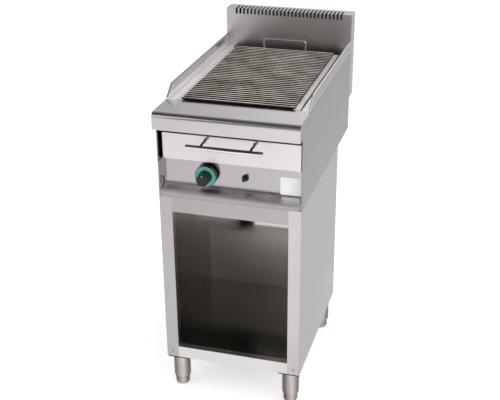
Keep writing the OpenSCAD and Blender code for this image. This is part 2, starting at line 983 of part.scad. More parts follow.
module flame_deflectors() {
  back_y = well_back_y - sheet - grate_gap;
  color(inside_steel) both_sides()
    at(burner_x, back_y, deflector_z) rotate([90, 0, 0])
      linear_extrude(height = back_y - grate_front_y) deflector_section();
}

module gas_injector() {
  color(brass) bar([-knob_x, header_y, venturi_z - injector_len], [-knob_x, header_y, venturi_z], injector_r);
}

module burner_feed_pipe() {
  start = [-knob_x, tap_back_y + tap_boss, knob_z];
  bend = [-knob_x, header_y, knob_z];
  color(pipe_steel) difference() {
    pipe([start, bend, [bend.x, bend.y, venturi_z]], pipe_r, pipe_r + sheet);
    bar([bend.x, bend.y, venturi_z - injector_len], [bend.x, bend.y, venturi_z + cut], injector_r);
  }
}

module gas_supply_pipe() {
  start = [inlet_x, unit_d - sheet - inlet_nut_len, supply_z];
  bend = [inlet_x, supply_y, supply_z];
  rise = [-knob_x, supply_y, supply_z];
  end = [-knob_x, supply_y, knob_z - tap_r - tap_boss];
  color(pipe_steel) pipe([start, bend, rise, end], pipe_r, pipe_r + sheet);
}

module gas_inlet_fitting() {
  nut_back = unit_d - sheet;
  color(brass) {
    bar([inlet_x, nut_back - inlet_nut_len, supply_z], [inlet_x, nut_back, supply_z], inlet_nut_r);
    bar([inlet_x, nut_back, supply_z], [inlet_x, unit_d + inlet_neck, supply_z], inlet_r - neck_depth);
    bar([inlet_x, unit_d + inlet_neck, supply_z], [inlet_x, unit_d + inlet_len, supply_z], inlet_r);
  }
}

module gas_tap() {
  boss_r = pipe_r + boss_wall;
  bore_end_y = spindle_end_y + knob_push + cut;
  rod_end_y = bore_end_y + push_len;
  color(brass) difference() {
    union() {
      bar([-knob_x, panel_back_y, knob_z], [-knob_x, tap_back_y, knob_z], tap_r);
      bar([-knob_x, tap_back_y - cut, knob_z], [-knob_x, tap_back_y + tap_boss, knob_z], boss_r);
      bar([-knob_x, supply_y, knob_z - tap_r - tap_boss], [-knob_x, supply_y, knob_z], boss_r);
      bar([couple_x + 2 * lead_r, supply_y, knob_z], [-knob_x, supply_y, knob_z], boss_r);
    }
    bar([-knob_x, panel_y, knob_z], [-knob_x, bore_end_y, knob_z], spindle_r + spindle_fit);
    bar([-knob_x, panel_y, knob_z], [-knob_x, rod_end_y, knob_z], push_r + spindle_fit);
  }
}

module tap_push_rod() {
  color(brass) bar([-knob_x, spindle_end_y, knob_z], [-knob_x, spindle_end_y + push_len, knob_z], push_r);
}

module tap_spindle() {
  start_y = skirt_y - spindle_hold;
  color(pipe_steel) bar([-knob_x, start_y, knob_z], [-knob_x, spindle_end_y, knob_z], spindle_r);
}

module knob() {
  color(black) difference() {
    union() {
      bar([-knob_x, dial_y, knob_z], [-knob_x, skirt_y, knob_z], dial_r);
      bar([-knob_x, grip_y, knob_z], [-knob_x, dial_y, knob_z], grip_r);
    }
    bar([-knob_x, skirt_y - spindle_hold, knob_z], [-knob_x, skirt_y + cut, knob_z], spindle_r);
    for (i = [0:flute_count - 1]) {
      turn = i * 360 / flute_count;
      x = -knob_x + (grip_r + flute_r / 2) * sin(turn);
      z = knob_z + (grip_r + flute_r / 2) * cos(turn);
      bar([x, grip_y - cut, z], [x, dial_y - 2 * dial_t, z], flute_r);
    }
  }
}

module knob_dial() {
  color(teal) difference() {
    bar([-knob_x, dial_y - dial_t, knob_z], [-knob_x, dial_y, knob_z], dial_r);
    bar([-knob_x, dial_y - dial_t - cut, knob_z], [-knob_x, dial_y + cut, knob_z], grip_r);
  }
}

module piezo_igniter() {
  flange_y = panel_y - igniter_flange_t;
  button_end_y = flange_y + button_in + button_travel + cut;
  color(black) difference() {
    union() {
      bar([igniter_x, flange_y, knob_z], [igniter_x, panel_y, knob_z], igniter_flange_r);
      bar([igniter_x, flange_y, knob_z], [igniter_x, panel_back_y + igniter_len, knob_z], igniter_r);
    }
    bar([igniter_x, flange_y - cut, knob_z], [igniter_x, button_end_y, knob_z], button_r + spindle_fit);
  }
}

module piezo_button() {
  flange_y = panel_y - igniter_flange_t;
  color(black) bar([igniter_x, button_y, knob_z], [igniter_x, flange_y + button_in, knob_z], button_r);
}

module ignition_electrode() {
  start = [igniter_x, panel_back_y + igniter_len, knob_z];
  turn = [igniter_x, probe_y, knob_z];
  rise = [electrode_x, probe_y, knob_z];
  color(white) {
    lead([start, turn, rise, [electrode_x, probe_y, probe_low_z + cut]]);
    bar([electrode_x, probe_y, probe_low_z], [electrode_x, probe_y, burner_z + burner_r - cut], probe_r);
  }
}

module thermocouple() {
  start = [couple_x + 2 * lead_r, supply_y, knob_z];
  turn = [couple_x - tap_boss, supply_y, knob_z];
  rise = [couple_x - tap_boss, probe_y, knob_z];
  under = [couple_x, probe_y, knob_z];
  color(pipe_steel) {
    lead([start, turn, rise, under, [under.x, probe_y, probe_low_z + cut]]);
    bar([under.x, probe_y, probe_low_z], [under.x, probe_y, burner_z + burner_r - cut], probe_r);
  }
}

stand_left_panel();
stand_right_panel();
stand_left_post();
stand_right_post();
stand_rails();
stand_back_panel();
stand_base_channels();
stand_shelf();
leg_plates();
leg_tubes();
front_left_foot();
front_right_foot();
rear_left_foot();
rear_right_foot();
panel_screws();
unit_base_pan();
unit_left_panel();
unit_right_panel();
unit_back_panel();
bullnose();
control_panel();
rating_plate();
left_splash_guard();
right_splash_guard();
left_ledge();
right_ledge();
firebox_side_walls();
firebox_end_walls();
grate_supports();
flue_riser();
flue_back_panel();
flue_cheeks();
flue_floor();
drawer_runners();
drawer_front();
drawer_tray();
drawer_handle_bar();
drawer_handle_standoffs();
grate_side_rails();
grate_rods();
grate_lift_loop();
burner_tubes();
burner_header();
burner_venturi();
burner_supports();
deflector_rests();
flame_deflectors();
gas_injector();
burner_feed_pipe();
gas_supply_pipe();
gas_inlet_fitting();
gas_tap();
tap_push_rod();
tap_spindle();
knob();
knob_dial();
piezo_igniter();
piezo_button();
ignition_electrode();
thermocouple();
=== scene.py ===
import json
import math
import random
import bmesh
import bpy
from mathutils import Matrix, Vector


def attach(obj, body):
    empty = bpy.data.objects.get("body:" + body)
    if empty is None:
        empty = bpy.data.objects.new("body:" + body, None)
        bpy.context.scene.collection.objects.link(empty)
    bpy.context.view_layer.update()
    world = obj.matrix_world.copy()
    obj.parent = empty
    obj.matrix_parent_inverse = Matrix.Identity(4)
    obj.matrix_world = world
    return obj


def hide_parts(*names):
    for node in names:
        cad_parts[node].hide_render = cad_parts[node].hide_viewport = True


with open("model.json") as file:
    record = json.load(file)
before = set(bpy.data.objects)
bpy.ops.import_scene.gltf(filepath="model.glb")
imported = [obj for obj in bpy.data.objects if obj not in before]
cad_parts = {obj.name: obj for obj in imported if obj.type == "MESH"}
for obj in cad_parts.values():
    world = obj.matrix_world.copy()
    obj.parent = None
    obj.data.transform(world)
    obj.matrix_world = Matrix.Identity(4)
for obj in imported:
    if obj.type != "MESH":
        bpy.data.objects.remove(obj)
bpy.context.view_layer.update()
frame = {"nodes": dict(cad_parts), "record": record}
mm = 0.001
patternLow, patternHigh = 0.3, 0.7  # the span of a noise pattern that shows
bendFade = 8  # mm of height over which a soft bend ends
lineDepth = 0.1  # mm that a relief of 1 stands for
bodyOf = {node: body for body, group in frame["record"]["behaviour"]["bodies"].items() for node in group}
print("frame loaded:", len(frame["nodes"]), "nodes")


def linear(hexText):  # sRGB hex to linear colour
    parts = [int(hexText[i:i + 2], 16) / 255 for i in (1, 3, 5)]
    return [p / 12.92 if p <= 0.04045 else ((p + 0.055) / 1.055) ** 2.4 for p in parts] + [1.0]


def addNode(tree, kind, values=None, links=None, **settings):
    node = tree.nodes.new(kind)
    for key, value in settings.items():
        setattr(node, key, value)
    for socket, value in (values or {}).items():
        node.inputs[socket].default_value = value
    for socket, source in (links or {}).items():
        tree.links.new(source, node.inputs[socket])
    return node


def newMaterial(name):
    material = bpy.data.materials.new(name)
    material.use_nodes = True
    tree = material.node_tree
    place = addNode(tree, "ShaderNodeTexCoord")
    return material, tree, tree.nodes["Principled BSDF"], place.outputs["Object"]


def twoTone(tree, factor, spec, low=patternLow, high=patternHigh):  # colour between the two tones of a finish
    tone = addNode(tree, "ShaderNodeValToRGB", links={"Fac": factor})
    for stop, place, shade in zip(tone.color_ramp.elements, (low, high), ("dark", "light")):
        stop.position = place
        stop.color = linear(spec[shade])
    return tone.outputs["Color"]


def surfaceNormal(tree, spec, place):  # the true normal, or one that turns softly over a wide press-brake bend
    if "bend" not in spec:
        return addNode(tree, "ShaderNodeNewGeometry").outputs["Normal"]
    radius, top = spec["bend"]
    height = addNode(tree, "ShaderNodeSeparateXYZ", links={0: place})
    span = {"From Min": (top - bendFade) * mm, "From Max": top * mm, "To Min": radius * mm, "To Max": 0.0}
    reach = addNode(tree, "ShaderNodeMapRange", span, {"Value": height.outputs["Z"]})
    return addNode(tree, "ShaderNodeBevel", links={"Radius": reach.outputs[0]}, samples=8).outputs[0]


def paintFacingShade(tree, tone, spec, normal):  # painted shade: a darker tone multiplied over the faces that look one way, from clear to full cover
    for axis, clear, full, shade in spec.get("paintedShades", ()):
        facing = addNode(tree, "ShaderNodeSeparateXYZ", links={0: normal})
        cover = addNode(tree, "ShaderNodeMapRange", {"From Min": clear, "From Max": full},
                        {"Value": facing.outputs[axis]})
        shadeLayer = addNode(tree, "ShaderNodeMix", {7: linear(shade)}, {0: cover.outputs[0], 6: tone},
                       data_type="RGBA", blend_type="MULTIPLY")
        tone = shadeLayer.outputs[2]
    return tone


def glossFrom(tree, factor, low, high):  # roughness that follows a pattern
    span = {"From Min": patternLow, "From Max": patternHigh, "To Min": low, "To Max": high}
    return addNode(tree, "ShaderNodeMapRange", span, {"Value": factor})


# Brushed stainless sheet: the belt leaves fine parallel lines, so highlights spread across them and the eye
# sees soft bands, faint clouds from handling and a slightly warm grey.
def brushedSteel(name, spec):
    material, tree, shader, place = newMaterial(name)
    normal = surfaceNormal(tree, spec, place)
    shader.inputs["Metallic"].default_value = spec["metal"]
    pitch = [spec["lineLength"] if axis == spec["grain"] else spec["lineGap"] for axis in "XYZ"]
    stretch = addNode(tree, "ShaderNodeMapping", {"Scale": [1 / (p * mm) for p in pitch]}, {"Vector": place})
    lines = addNode(tree, "ShaderNodeTexNoise", {"Scale": 1.0, "Detail": 3.0, "Roughness": 0.6},
                    {"Vector": stretch.outputs[0]})
    clouds = addNode(tree, "ShaderNodeTexNoise", {"Scale": 1 / (spec["cloud"] * mm), "Detail": 2.0},
                     {"Vector": place})
    mixed = addNode(tree, "ShaderNodeMix", {"Factor": 0.5}, {2: lines.outputs[0], 3: clouds.outputs[0]})
    tree.links.new(paintFacingShade(tree, twoTone(tree, mixed.outputs[0], spec), spec, normal), shader.inputs["Base Color"])
    gloss = glossFrom(tree, mixed.outputs[0], spec["smooth"], spec["rough"])
    if "haze" in spec:  # dulled by use below a height in mm
        dull, low, high = spec["haze"]
        height = addNode(tree, "ShaderNodeSeparateXYZ", links={0: place})
        span = {"From Min": low * mm, "From Max": high * mm, "To Min": dull, "To Max": 0.0}
        worn = addNode(tree, "ShaderNodeMapRange", span, {"Value": height.outputs["Z"]})
        gloss = addNode(tree, "ShaderNodeMath", links={0: gloss.outputs[0], 1: worn.outputs[0]},
                        operation="MAXIMUM")
    tree.links.new(gloss.outputs[0], shader.inputs["Roughness"])
    bump = addNode(tree, "ShaderNodeBump", {"Strength": spec["relief"], "Distance": lineDepth * mm},
                   {"Height": lines.outputs[0], "Normal": normal})
    tree.links.new(bump.outputs[0], shader.inputs["Normal"])
    grain = [1.0 if axis == spec["grain"] else 0.05 for axis in "XYZ"]
    spread = addNode(tree, "ShaderNodeVectorMath", {1: grain}, {0: normal}, operation="CROSS_PRODUCT")
    shader.inputs["Anisotropic"].default_value = spec["spread"]  # highlights run across the lines
    tree.links.new(spread.outputs[0], shader.inputs["Tangent"])
    return material


# The real lines are about 0.1 mm apart, too fine to show, so they are drawn 2.5 mm apart.
sheetSpec = {"dark": "#C4BFC1", "light": "#D3CED0", "grain": "X", "lineGap": 2.5, "lineLength": 260, "cloud": 140,
             "smooth": 0.18, "rough": 0.3, "relief": 0.012, "metal": 1.0, "spread": 0.75}
acrossSteel = brushedSteel("brushedSteelAcross", sheetSpec)
deepSteel = brushedSteel("brushedSteelDeep", {**sheetSpec, "grain": "Y"})
riserSteel = brushedSteel("brightRiserSteel", {**sheetSpec, "dark": "#C0BBBC", "light": "#CDC8C9", "smooth": 0.27,
                                               "rough": 0.34, "relief": 0.006, "spread": 0.3})
# The left post is a darker and the right post a lighter copy of the sheet steel: painted shade and painted light for
# light that falls from the right.
shadedPostLeft = brushedSteel("brushedPostLeft", {**sheetSpec, "dark": "#B2ADAF", "light": "#BFBABC", "grain": "Z"})
litPostRight = brushedSteel("brushedPostRight", {**sheetSpec, "dark": "#C2BDBE", "light": "#D0CBCC", "grain": "Z"})
# The rails are a darker and a lighter copy of the sheet steel: painted shade on the upper rails, painted light on the
# bottom rails.
shadedRailSteel = brushedSteel("brushedRailSteel", {**sheetSpec, "dark": "#ACA7A8", "light": "#BAB5B6"})
litLowRailSteel = brushedSteel("brushedLowRailSteel", {**sheetSpec, "dark": "#D8D5D5", "light": "#E3E0E0"})
# The unit's side panels are a darker copy of the sheet steel: painted shade.
shadedUnitSide = brushedSteel("brushedUnitSide", {**sheetSpec, "dark": "#9C989A", "light": "#AAA6A8", "grain": "Y"})
standSpec = {**sheetSpec, "dark": "#C2BEBB", "light": "#CECAC7", "grain": "Z"}
standLeft = brushedSteel("brushedStandLeft", {**standSpec, "paintedShades": [("X", 0.3, 0.8, "#A09C97")]})  # painted shade on the face that looks inwards
# painted shade on the inner face of this panel too
standRight = brushedSteel("brushedStandRight", {**standSpec, "paintedShades": [("X", -0.3, -0.8, "#DCD8D3")]})
guardSpec = {**sheetSpec, "dark": "#E8E4E4", "light": "#F5F1F1", "grain": "Y", "smooth": 0.14, "rough": 0.22,
             "metal": 0.8, "relief": 0.006}
# The guards' facing films are painted shade: on the left guard's top hem and outer face, and on the right guard's
# outer face.
guardLeft = brushedSteel("brushedGuardLeft", {**guardSpec, "paintedShades": [("Z", 0.25, 0.8, "#8C8886"),
                                                                    ("X", -0.3, -0.8, "#B4B0B2")]})
guardRight = brushedSteel("brushedGuardRight", {**guardSpec, "paintedShades": [("X", 0.3, 0.8, "#BCB8BA")]})
ledgeSteel = brushedSteel("brushedLedgeSteel", {**guardSpec, "dark": "#E8E6E6", "light": "#F4F2F2", "metal": 0.5})
# The bullnose's facing film is painted shade on its right-facing end.
noseSteel = brushedSteel("brushedNoseSteel", {**sheetSpec, "dark": "#C9C4C6", "light": "#D8D3D5", "smooth": 0.12,
                                              "rough": 0.2, "spread": 0.4, "paintedShades": [("X", 0.4, 0.9, "#C0BBBD")]})
brightSteel = brushedSteel("fineBrushedSteel", {**sheetSpec, "dark": "#E2DDDF", "light": "#EBE6E8", "smooth": 0.19,
                                                "rough": 0.25, "spread": 0.92})
# The control panel's sloping ledge is rubbed dull, and its upright face carries painted shade, a little darker.
panelSteel = brushedSteel("satinPanelSteel", {**sheetSpec, "dark": "#E6E1E3", "light": "#F2EDEF", "smooth": 0.12,
                                              "rough": 0.2, "bend": (14, 684), "haze": (0.3, 652, 668),
                                              "paintedShades": [("Z", 0.3, 0.05, "#C9C8C8")]})
# Mill finish inside: rolled, never brushed, so it mirrors the dark cabinet; the shelf and base pan get a darker tone
# as painted shade inside the cabinet, and the back is dull low down.
millSpec = {**sheetSpec, "cloud": 220, "relief": 0.03, "spread": 0.0}
shadedMillSteel = brushedSteel("shadedMillRolledSteel", {**millSpec, "dark": "#7C7974", "light": "#8E8B86", "smooth": 0.1,
                                             "rough": 0.2})
backSteel = brushedSteel("millRolledBack", {**millSpec, "dark": "#D0CCC8", "light": "#E0DCD8", "smooth": 0.05,
                                            "rough": 0.1, "haze": (0.42, 312, 368)})
# Drawn leg tube: its lines run up and down, it is a warmer grey than the sheet, and its flanks carry painted shade.
legSteel = brushedSteel("turnedTubeSteel", {**sheetSpec, "dark": "#CAC1BC", "light": "#DED5D0", "grain": "Z",
                                            "lineGap": 3, "lineLength": 60, "cloud": 40, "smooth": 0.1, "rough": 0.16,
                                            "spread": 0.0, "paintedShades": [("X", 0.3, -0.5, "#8C8785"),
                                                                     ("X", 0.5, 0.95, "#989391")]})
# Polished bar: buffed to a near mirror, with a painted dark reflection where it looks up and towards the drawer.
polishedSteel = brushedSteel("polishedBarSteel", {**sheetSpec, "dark": "#ECEBEB", "light": "#F8F7F7", "cloud": 30,
                                                  "smooth": 0.06, "rough": 0.12, "relief": 0.02, "spread": 0.0,
                                                  "paintedShades": [("Z", 0.0, 0.35, "#8A8686"),
                                                            ("Y", 0.1, 0.5, "#242222")]})
screwSteel = brushedSteel("zincPlatedSteel", {**sheetSpec, "dark": "#BAB7B4", "light": "#D0CDCA", "cloud": 6})


# Metal that has been used and heated: a warm tint in patches, a greasy dull sheen and fine spots.
def seasonedSteel(name, spec):
    material, tree, shader, place = newMaterial(name)
    shader.inputs["Metallic"].default_value = spec["metal"]
    patch = addNode(tree, "ShaderNodeTexNoise", {"Scale": 1 / (spec["patch"] * mm), "Detail": 4.0},
                    {"Vector": place})
    speck = addNode(tree, "ShaderNodeTexNoise", {"Scale": 1 / (spec["speck"] * mm), "Detail": 3.0},
                    {"Vector": place})
    mixed = addNode(tree, "ShaderNodeMix", {"Factor": 0.35}, {2: patch.outputs[0], 3: speck.outputs[0]})
    tone = twoTone(tree, mixed.outputs[0], spec, 0.36, 0.64)
    tree.links.new(paintFacingShade(tree, tone, spec, surfaceNormal(tree, spec, place)), shader.inputs["Base Color"])
    gloss = glossFrom(tree, mixed.outputs[0], spec["rough"], spec["smooth"])
    tree.links.new(gloss.outputs[0], shader.inputs["Roughness"])
    bump = addNode(tree, "ShaderNodeBump", {"Strength": 0.25, "Distance": lineDepth * mm},
                   {"Height": speck.outputs[0]})
    tree.links.new(bump.outputs[0], shader.inputs["Normal"])
    return material


# The rods are under a baked-on film, so they shine like enamel on top; below their tops they carry painted shade,
# near black.
rodSteel = seasonedSteel("drawnRodSteel", {"dark": "#B0A193", "light": "#FFF6EA", "patch": 60, "speck": 3,
                                           "metal": 0.0, "smooth": 0.4, "rough": 0.55,
                                           "paintedShades": [("Z", 0.93, 0.79, "#060403")]})
railSteel = seasonedSteel("flatBarSteel", {"dark": "#E0DCD8", "light": "#F2EEEA", "patch": 60, "speck": 4,
                                           "metal": 0.3, "smooth": 0.35, "rough": 0.5})
wireSteel = seasonedSteel("drawnWireSteel", {"dark": "#BEB8B2", "light": "#DAD5D0", "patch": 60, "speck": 4,
                                             "metal": 1.0, "smooth": 0.3, "rough": 0.45})
# The leg plates' near-black tone is painted shade, for plates that sit in the shade under the stand.
plateShadeSteel = seasonedSteel("paintedShadePlate", {"dark": "#1E1C1B", "light": "#2E2B29", "patch": 30, "speck": 3,
                                               "metal": 1.0, "smooth": 0.4, "rough": 0.6})
burnerSteel = seasonedSteel("heatDulledSteel", {"dark": "#4B453F", "light": "#8A827A", "patch": 50, "speck": 4,
                                                "metal": 1.0, "smooth": 0.4, "rough": 0.65})
fireboxSteel = seasonedSteel("sootedSheetSteel", {"dark": "#2E2A26", "light": "#5A534D", "patch": 80, "speck": 5,
                                                  "metal": 1.0, "smooth": 0.45, "rough": 0.7})
brass = seasonedSteel("machinedBrass", {"dark": "#A98B45", "light": "#D0B469", "patch": 12, "speck": 1.5,
                                        "metal": 1.0, "smooth": 0.2, "rough": 0.32})


# Moulded or printed pieces: a fine grain gives them a dull sheen with soft highlights.
def moulded(name, spec):
    material, tree, shader, place = newMaterial(name)
    grain = addNode(tree, "ShaderNodeTexNoise", {"Scale": 1 / (spec["grain"] * mm), "Detail": 2.0},
                    {"Vector": place})
    tree.links.new(twoTone(tree, grain.outputs[0], spec), shader.inputs["Base Color"])
    gloss = glossFrom(tree, grain.outputs[0], spec["smooth"], spec["rough"])
    tree.links.new(gloss.outputs[0], shader.inputs["Roughness"])
    bump = addNode(tree, "ShaderNodeBump", {"Strength": spec["relief"], "Distance": lineDepth * mm},
                   {"Height": grain.outputs[0]})
    tree.links.new(bump.outputs[0], shader.inputs["Normal"])
    return material


blackPlastic = moulded("mouldedPhenolic", {"dark": "#0C0C0D", "light": "#161618", "grain": 0.6, "smooth": 0.22,
                                           "rough": 0.34, "relief": 0.15})
tealRing = moulded("printedTealRing", {"dark": "#4FA39D", "light": "#63B8B1", "grain": 3, "smooth": 0.28,
                                       "rough": 0.38, "relief": 0.04})
markInk = moulded("printedDarkInk", {"dark": "#16201F", "light": "#243230", "grain": 1, "smooth": 0.4, "rough": 0.5,
                                     "relief": 0.05})
whiteVinyl = moulded("whiteVinylLabel", {"dark": "#F2F1F2", "light": "#F8F7F8", "grain": 8, "smooth": 0.35,
                                         "rough": 0.45, "relief": 0.05})
ceramic = moulded("glazedCeramic", {"dark": "#DAD5CA", "light": "#EAE6DC", "grain": 2, "smooth": 0.15, "rough": 0.3,
                                    "relief": 0.1})
print("materials made")

slotMaterial = {
    "brushed_steel": acrossSteel, "bright_steel": brightSteel, "panel_steel": panelSteel,
    "inside_steel": fireboxSteel, "grate_steel": rodSteel, "leg_steel": legSteel, "screw_steel": screwSteel,
    "polished_steel": polishedSteel, "burner_steel": burnerSteel, "brass": brass, "black_plastic": blackPlastic,
    "teal_dial": tealRing, "white_plate": whiteVinyl, "ceramic": ceramic,
}
slotOf = {}
for name, node in frame["nodes"].items():  # every CAD node takes its slot's finish
    slotOf[name] = node.material_slots[0].material.name.split(".")[0]
    node.material_slots[0].material = slotMaterial[slotOf[name]]
for name, finish in (("stand_shelf", shadedMillSteel), ("unit_base_pan", shadedMillSteel), ("grate_lift_loop", wireSteel)):
    frame["nodes"][name].material_slots[0].material = finish
print("nodes dressed")


def addPiece(name, bm, material, body, nodes=(), crease=35):
    mesh = bpy.data.meshes.new(name)
    bm.to_mesh(mesh)
    bm.free()
    mesh.shade_smooth()
    mesh.set_sharp_from_angle(angle=math.radians(crease))
    for entry in material if isinstance(material, (list, tuple)) else [material]:
        mesh.materials.append(entry)
    piece = bpy.data.objects.new(name, mesh)
    bpy.context.scene.collection.objects.link(piece)
    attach(piece, body)
    if nodes:
        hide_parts(*nodes)
    return piece


# Sheet pieces: a merged copy of the node with its bends and cut edges rounded.
def roundedSheet(node, material, edge, rows=2, angle=25):
    bm = bmesh.new()
    bm.from_mesh(frame["nodes"][node].data)
    bmesh.ops.remove_doubles(bm, verts=bm.verts, dist=0.002 * mm)
    bmesh.ops.dissolve_limit(bm, angle_limit=math.radians(0.4), verts=bm.verts, edges=bm.edges)
    bends = [e for e in bm.edges if e.is_manifold and e.calc_face_angle(0) > math.radians(angle)]
    bmesh.ops.bevel(bm, geom=bends, offset=edge * mm, segments=rows, profile=0.5, affect="EDGES", material=-1,
                    clamp_overlap=True)
    piece = addPiece(node + "Sheet", bm, material, bodyOf[node], [node], crease=50)
    piece.modifiers.new("flatFaces", "WEIGHTED_NORMAL").keep_sharp = True  # wide faces stay flat to their bends
    return piece


sheets = {  # node: finish and edge radius in mm
    "stand_left_panel": (standLeft, 0.5), "stand_right_panel": (standRight, 0.5),
    "stand_left_post": (shadedPostLeft, 1.2), "stand_right_post": (litPostRight, 1.2),
    "stand_rails": (shadedRailSteel, 1.2), "stand_base_channels": (deepSteel, 0.5),
    "leg_plates": (plateShadeSteel, 0.8), "unit_left_panel": (shadedUnitSide, 0.5), "unit_right_panel": (shadedUnitSide, 0.5),
    "bullnose": (noseSteel, 0.6), "control_panel": (panelSteel, 0.5), "drawer_front": (brightSteel, 0.7),
    "left_splash_guard": (guardLeft, 2.4), "right_splash_guard": (guardRight, 2.4),
    "left_ledge": (ledgeSteel, 0.5), "right_ledge": (ledgeSteel, 0.5), "flue_riser": (riserSteel, 0.5),
    "flue_back_panel": (acrossSteel, 0.5), "flue_cheeks": (deepSteel, 0.5), "flue_floor": (acrossSteel, 0.5),
    "unit_back_panel": (acrossSteel, 0.5), "stand_back_panel": (backSteel, 0.5),
    "grate_side_rails": (railSteel, 0.8),
}
lowRailTop = 0.3  # metres, above the bottom rails
for node, finish in sheets.items():
    piece = roundedSheet(node, *finish)
    if node == "stand_rails":  # the bottom rails get the lighter copy, painted light for the bright floor they mirror
        piece.data.materials.append(litLowRailSteel)
        for face in piece.data.polygons:
            face.material_index = 1 if face.center.z < lowRailTop else 0
print("sheets rounded:", len(sheets))


def turned(points, axis, centre, steps=48):  # a lathe shape: points are (radius, distance along the axis) in mm
    along = Vector(axis)
    side = Vector((0, 0, 1)) if abs(along.z) < 0.5 else Vector((1, 0, 0))
    start = Vector(centre) * mm
    bm = bmesh.new()
    ring = [bm.verts.new(start + along * (a * mm) + side * (r * mm)) for r, a in points]
    edges = [bm.edges.new(pair) for pair in zip(ring, ring[1:])]
    bmesh.ops.spin(bm, geom=ring + edges, cent=start, axis=along, angle=2 * math.pi, steps=steps, use_merge=True)
    bmesh.ops.remove_doubles(bm, verts=bm.verts, dist=0.005 * mm)
    bmesh.ops.recalc_face_normals(bm, faces=bm.faces)
    return bm


def joined(parts):  # several meshes in one
    whole = bmesh.new()
    for part in parts:
        shell = bpy.data.meshes.new("part")
        part.to_mesh(shell)
        part.free()
        whole.from_mesh(shell)
        bpy.data.meshes.remove(shell)
    return whole


handle = {"y": -361, "z": 798, "half": 105, "radius": 5.98, "round": 1.6, "face": -305, "pins": 67.5, "pin": 4,
          "collar": 6.5, "collarRound": 0.6}
r, h, soft = handle["radius"], handle["half"], handle["round"]
bar = turned([(0, -h), (r - soft, -h), (r - 0.5, -h + 0.4), (r, -h + soft), (r, h - soft), (r - 0.5, h - 0.4),
              (r - soft, h), (0, h)], (1, 0, 0), (0, handle["y"], handle["z"]))
addPiece("handleBar", bar, polishedSteel, "drawer", ["drawer_handle_bar"])
reach = handle["face"] - handle["y"]
pin, collar, soft = handle["pin"], handle["collar"], handle["collarRound"]
pins = [turned([(pin, 0), (pin, reach - 4), (pin + soft, reach - 2.2), (collar - soft, reach - 1.6),
                (collar, reach - 1), (collar, reach)],
               (0, 1, 0), (x, handle["y"], handle["z"]), 32) for x in (-handle["pins"], handle["pins"])]
addPiece("handlePins", joined(pins), polishedSteel, "drawer", ["drawer_handle_standoffs"])
print("handle made")

knob = {"x": -68, "z": 698, "back": -303.5, "skirtFront": -314.5, "ringFront": -317.5, "front": -348.5,
        "skirt": 30, "bore": 8, "round": 0.8, "ring": 28.4, "grip": 18, "flutes": 12, "fluteDepth": 1.6}
knobAt = (knob["x"], 0, knob["z"])
wide, soft, front = knob["skirt"], knob["round"], knob["ringFront"]
skirt = turned([(knob["bore"], knob["back"]), (wide - soft, knob["back"]), (wide, knob["back"] - soft),
                (wide, front + 1), (wide - 0.4, front + 0.4), (knob["ring"] + 0.3, front + 0.4),
                (knob["ring"] + 0.1, front + 0.8), (knob["ring"] + 0.1, knob["skirtFront"]),
                (knob["bore"], knob["skirtFront"])], (0, 1, 0), knobAt, 72)
grip = bmesh.new()
bmesh.ops.create_circle(grip, segments=144, radius=knob["grip"] * mm)
for v in grip.verts:
    turn = math.atan2(v.co.y, v.co.x)
    wave = max(0.0, math.cos(knob["flutes"] * turn)) ** 1.5
    v.co *= 1 - wave * knob["fluteDepth"] / knob["grip"]
bmesh.ops.rotate(grip, verts=grip.verts, cent=(0, 0, 0), matrix=Matrix.Rotation(math.radians(90), 3, "X"))
bmesh.ops.translate(grip, verts=grip.verts, vec=Vector((knob["x"], knob["skirtFront"], knob["z"])) * mm)
loop = list(grip.edges)
level = knob["skirtFront"]
tip = knob["front"]
for to, size in ((tip + 29, 1.0), (tip + 7, 0.96), (tip + 2.5, 0.945), (tip + 0.7, 0.91), (tip, 0.83),
                 (tip, 0.62), (tip + 0.8, 0.6), (tip + 0.8, 0.02)):  # tapered, with a dished face
    grown = bmesh.ops.extrude_edge_only(grip, edges=loop)["geom"]
    verts = [g for g in grown if isinstance(g, bmesh.types.BMVert)]
    loop = [g for g in grown if isinstance(g, bmesh.types.BMEdge)]
    spread = sum(((v.co - Vector((knob["x"] * mm, v.co.y, knob["z"] * mm))).length for v in verts)) / len(verts)
    scale = size * (knob["grip"] - 0.3 * knob["fluteDepth"]) * mm / spread
    axisAt = Matrix.Translation(Vector(knobAt) * -mm)
    bmesh.ops.scale(grip, vec=(scale, 1, scale), space=axisAt, verts=verts)
    bmesh.ops.translate(grip, verts=verts, vec=(0, (to - level) * mm, 0))
    level = to
bmesh.ops.contextual_create(grip, geom=loop)
bmesh.ops.recalc_face_normals(grip, faces=grip.faces)
addPiece("knobBody", joined([skirt, grip]), blackPlastic, "control_knob", ["knob"], crease=28)
inner = knob["grip"] + 0.3
ring = turned([(inner, knob["skirtFront"]), (inner, knob["ringFront"] + 0.3), (inner + 0.3, knob["ringFront"]),
               (knob["ring"] - 0.4, knob["ringFront"]), (knob["ring"], knob["ringFront"] + 0.4),
               (knob["ring"], knob["skirtFront"]), (inner, knob["skirtFront"])], (0, 1, 0), knobAt, 72)
addPiece("knobRing", ring, tealRing, "control_knob", ["knob_dial"])


def block(size, turn=None, place=(0, 0, 0), edge=0.0):  # a small slab with softened edges, sizes in mm
    bm = bmesh.new()
    bmesh.ops.create_cube(bm, size=1.0)
    bmesh.ops.scale(bm, vec=Vector(size) * mm, verts=bm.verts)
    if edge:
        bmesh.ops.bevel(bm, geom=bm.edges[:], offset=edge * mm, segments=2, profile=0.5, affect="EDGES", material=-1)
    if turn:
        bmesh.ops.rotate(bm, verts=bm.verts, cent=(0, 0, 0), matrix=turn)
    bmesh.ops.translate(bm, verts=bm.verts, vec=Vector(place) * mm)
    return bm


def dialPlace(angle, radius, y):  # a point on the dial, clockwise from the top as seen from the front
    a = math.radians(angle)
    return (knob["x"] + radius * math.sin(a), y, knob["z"] + radius * math.cos(a))


